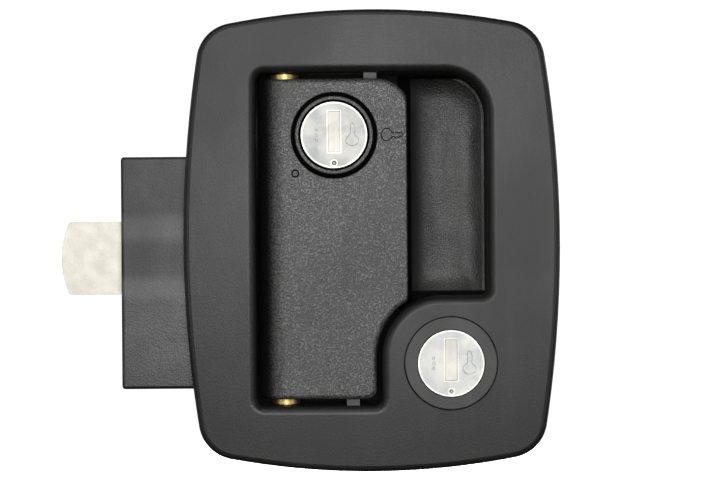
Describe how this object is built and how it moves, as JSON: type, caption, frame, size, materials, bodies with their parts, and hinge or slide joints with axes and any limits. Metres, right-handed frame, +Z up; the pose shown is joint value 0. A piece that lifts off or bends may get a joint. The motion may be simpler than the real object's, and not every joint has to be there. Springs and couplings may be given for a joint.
{
  "type": "paddle latch",
  "caption": "Flush paddle lock for a motorhome entry door: crowned plate, hinged keyed paddle over a finger cup, spring latch and keyed deadbolt",
  "frame": {"origin": "centre of the escutcheon plate's rear face, which lies on the door's outer face", "axes": "+X to the right seen from outside the door, +Y into the door, +Z up; the latch bolts point along -X"},
  "size_m": [0.1505, 0.0507, 0.1378],
  "materials": {
    "black_moulding": "matt black moulded nylon",
    "black_paddle": "black, fine stippled texture",
    "black_satin": "black, smooth semi-gloss",
    "foam": "black closed-cell seal",
    "bright_steel": "bright stainless",
    "zinc_steel": "zinc-plated steel",
    "nickel": "matt nickel-plated casting",
    "brass": "machined brass",
    "spring_steel": "oiled spring steel",
    "box_black": "black coated zinc casting"
  },
  "bodies": {
    "housing": {"bezel": "black_moulding", "bezel_gasket": "foam", "threaded_inserts": "brass", "finger_cup": "black_satin", "cup_clips": "spring_steel", "hinge_pin": "zinc_steel", "hinge_pin_clips": "spring_steel", "deadbolt_collar": "black_moulding", "deadbolt_cylinder": "nickel", "deadbolt_nut": "nickel", "latch_housing": "box_black", "housing_screws": "zinc_steel", "rear_cover": "zinc_steel", "cover_screws": "zinc_steel", "bolt_spring": "spring_steel"},
    "paddle": {"paddle": "black_paddle", "hinge_bush_top": "brass", "hinge_bush_bottom": "brass", "paddle_lock_sleeve": "nickel", "paddle_lock_nut": "nickel", "release_arm": "zinc_steel", "arm_screws": "zinc_steel", "paddle_spring": "spring_steel"},
    "paddle_plug": {"paddle_lock_plug": "bright_steel", "paddle_lock_wafers": "brass", "paddle_lock_shutter": "bright_steel", "lock_cam": "zinc_steel", "cam_screw": "zinc_steel"},
    "deadbolt_plug": {"deadbolt_plug": "bright_steel", "deadbolt_wafers": "brass", "deadbolt_shutter": "bright_steel", "deadbolt_crank": "zinc_steel"},
    "slam_bolt": {"slam_bolt": "nickel", "bolt_plate": "zinc_steel", "bolt_rivets": "zinc_steel", "pull_stud": "zinc_steel"},
    "deadbolt": {"deadbolt": "nickel"}
  },
  "joints": [
    {"name": "paddle_hinge", "type": "hinge", "parent": "housing", "child": "paddle", "pos_m": [-0.02585, 0.0016, 0], "axis": [0, 0, -1], "range_deg": [0, 40], "stiffness_Nm_per_rad": 0.6, "springref_deg": -28.65, "deforming": ["paddle_spring"]},
    {"name": "paddle_key", "type": "hinge", "parent": "paddle", "child": "paddle_plug", "pos_m": [-0.011, 0, 0.0313], "axis": [0, -1, 0], "range_deg": [0, 90]},
    {"name": "slam_bolt_slide", "type": "slide", "parent": "housing", "child": "slam_bolt", "axis": [1, 0, 0], "range_m": [0, 0.0185], "deforming": ["bolt_spring"]},
    {"name": "deadbolt_key", "type": "hinge", "parent": "housing", "child": "deadbolt_plug", "pos_m": [0.02326, 0, -0.03665], "axis": [0, -1, 0], "range_deg": [0, 90]},
    {"name": "deadbolt_slide", "type": "slide", "parent": "housing", "child": "deadbolt", "axis": [-1, 0, 0], "range_m": [0, 0.01414]}
  ],
  "couplings": [
    {"joint": "paddle_hinge", "follows": "slam_bolt_slide", "rad_per_m": 37.73},
    {"joint": "deadbolt_key", "follows": "deadbolt_slide", "rad_per_m": 111.07}
  ]
}
